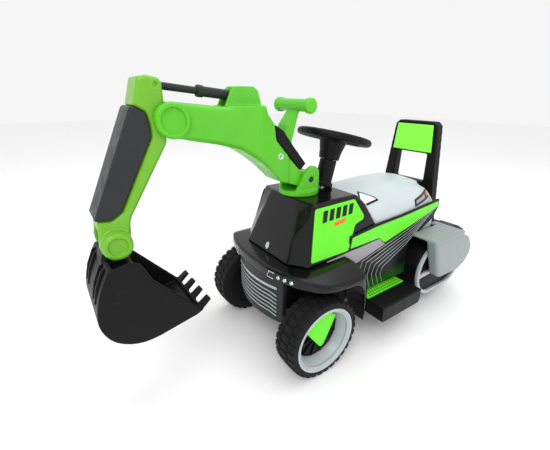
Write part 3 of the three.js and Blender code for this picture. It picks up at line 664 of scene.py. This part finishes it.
TUBE = [(6.2, 6), (7.6, 8), (7.8, 12), (7.8, 70), (9.0, 71), (9.2, 73), (9.2, 79), (8.6, 80.6), (6.0, 81)]
tube = turned_along("cylinder_tube_shape", TUBE)
dress(tube, "cylinder_tube", "cover_grey", None, ("cylinder_tube",))
eye = lathe("cylinder_tube_eye", [(3.3, -8), (7.6, -8), (8.4, -7), (8.4, 7), (7.6, 8), (3.3, 8)],
            (tube_eye.y, tube_eye.z), 1, 40)
dress(eye, "cylinder_tube", "cover_grey")
rod = turned_along("cylinder_rod_shape", [(5.2, 70), (5.4, 71), (5.4, 141), (5.0, 142.5)])
dress(rod, "cylinder_rod", "cover_grey", None, ("cylinder_rod",))
rod_eye = tube_eye + rod_axis * math.hypot(149, 17)
eye = lathe("cylinder_rod_eye", [(7.2, -6), (9.2, -6), (10, -5), (10, 5), (9.2, 6), (7.2, 6)],
            (rod_eye.y, rod_eye.z), 1, 40)
dress(eye, "cylinder_rod", "cover_grey")
SCREW = [(0.3, 27), (6.4, 27), (6.4, 29.8), (5.6, 30.8), (4.0, 30.8), (2.6, 29.4), (0.3, 29.4)]
for side_name, side in SIDES:
    screw = lathe(f"boom_screw_{side_name}", SCREW, (-17, 424), side, 36)
    dress(screw, "boom", "cover_grey", CHROME)

BUCKET_RIB = [(-336, 299), (-343, 296), (-354, 272), (-360.5, 246), (-357, 244), (-349, 268)]
for x in (-43, -25, 25, 43):
    rib = plate(f"bucket_rib_{x + 43}", BUCKET_RIB,
                lambda u, v, lift: at(x + lift - 2.0, u, v), 4.0)
    dress(rounded(rib, 0.9 * MM, 2), "bucket", "body_black")

# ---------- films that follow the seat ----------
seat_skin = bpy.data.objects["seat_skin"]
seat_tree = BVHTree.FromPolygons([v.co for v in seat_skin.data.vertices],
                                 [tuple(p.vertices) for p in seat_skin.data.polygons])


def draped(name, outline, along, lift, material, cuts=9):
    """A thin film over the seat: outline points pushed along a direction until they meet it."""
    work = bmesh.new()
    corners = [work.verts.new(p) for p in outline]
    bmesh.ops.triangulate(work, faces=[work.faces.new(corners)])
    bmesh.ops.subdivide_edges(work, edges=work.edges, cuts=cuts, use_grid_fill=True)
    bmesh.ops.triangulate(work, faces=work.faces)
    missed = []
    for vertex in work.verts:
        spot, normal, _, _ = seat_tree.ray_cast(vertex.co, Vector(along))
        if spot is None or normal.dot(Vector(along)) > -0.25:
            missed.append(vertex)
        else:
            vertex.co = spot + normal * lift * MM
    bmesh.ops.delete(work, geom=missed, context="VERTS")
    mesh = bpy.data.meshes.new(name)
    work.to_mesh(mesh)
    work.free()
    film = bpy.data.objects.new(name, mesh)
    bpy.context.scene.collection.objects.link(film)
    thick = film.modifiers.new("thick", "SOLIDIFY")
    thick.thickness = 0.3 * MM
    thick.offset = 0.0
    bake(film)
    return dress(film, "chassis", "seat_grey", material)


def corners_3d(points, side, x):
    return [at(side * x, y, z) for y, z in points]


for side_name, side in SIDES:
    label = [(346, 275), (347, 292), (430, 309), (432, 290)]
    draped(f"seat_label_{side_name}", corners_3d(label, side, 160), (-side, 0, 0), 0.45, INK)
    for i, (start, end, tone) in enumerate(((352, 396, GREY_FILM), (402, 412, ORANGE), (416, 426, WHITE))):
        def height(y, share):
            low = 275 + (290 - 275) * (y - 346) / 86
            top = 292 + (309 - 292) * (y - 347) / 83
            return low + (top - low) * share
        mark = [(start, height(start, 0.28)), (start + 2, height(start, 0.75)),
                (end, height(end, 0.75)), (end - 2, height(end, 0.28))]
        draped(f"seat_mark_{i}_{side_name}", corners_3d(mark, side, 160), (-side, 0, 0), 0.85, tone, 5)
    flag = [(44, 186), (76, 226), (79, 160)]
    inner = grown(flag, -4.2)
    for i, (shape, lift, tone) in enumerate(((flag, 0.4, INK), (inner, 0.8, WHITE))):
        spots = [at(side * x, y, 420) for x, y in shape]
        draped(f"seat_flag_{i}_{side_name}", spots, (0, 0, -1), lift, tone)

# ---------- stage, light and camera ----------
bpy.ops.mesh.primitive_plane_add(size=14)
floor = bpy.context.object
floor.name = "floor"
floor.data.materials.append(surface("floor_white", rgb(250, 250, 250), 0.75, 0.03, grain=0.02, mottle=0.004))
floor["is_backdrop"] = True

world = bpy.data.worlds.new("studio")
bpy.context.scene.world = world
world.use_nodes = True
world.node_tree.nodes["Background"].inputs["Color"].default_value = (1.0, 1.0, 1.0, 1.0)
world.node_tree.nodes["Background"].inputs["Strength"].default_value = 0.92
bpy.context.scene.view_settings.view_transform = "Standard"


def softbox(name, place, target, size, power):
    light = bpy.data.lights.new(name, "AREA")
    light.shape = "RECTANGLE"
    light.size, light.size_y = size
    light.energy = power
    lamp = bpy.data.objects.new(name, light)
    lamp.location = place
    lamp.rotation_euler = (Vector(target) - Vector(place)).to_track_quat("-Z", "Y").to_euler()
    bpy.context.scene.collection.objects.link(lamp)


softbox("key", (1.1, -1.3, 1.9), (0, 0, 0.25), (1.3, 0.9), 19)
softbox("top", (-0.2, 0.3, 2.3), (0, 0, 0.2), (1.8, 1.8), 15)
softbox("side", (2.1, 0.9, 0.9), (0, 0.1, 0.2), (0.7, 1.6), 5)

CAMERA = Vector((0.51659, -0.47135, 0.5334))
LENS, SENSOR_WIDTH = 21.28, 36.0
YAW, PITCH, ROLL = math.radians(54.75), math.radians(-22.16), math.radians(0.43)
forward = Vector((-math.sin(YAW) * math.cos(PITCH), math.cos(YAW) * math.cos(PITCH), math.sin(PITCH)))
level = Vector((math.cos(YAW), math.sin(YAW), 0))
upright = level.cross(forward)
right = level * math.cos(ROLL) + upright * math.sin(ROLL)
up = upright * math.cos(ROLL) - level * math.sin(ROLL)
camera = bpy.data.objects.new("camera", bpy.data.cameras.new("camera"))
camera.data.lens = LENS
camera.data.sensor_width = SENSOR_WIDTH
camera.data.clip_start = 0.01
camera.matrix_world = Matrix((
    (right.x, up.x, -forward.x, CAMERA.x),
    (right.y, up.y, -forward.y, CAMERA.y),
    (right.z, up.z, -forward.z, CAMERA.z),
    (0, 0, 0, 1)))
bpy.context.scene.collection.objects.link(camera)
bpy.context.scene.camera = camera

low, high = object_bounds()
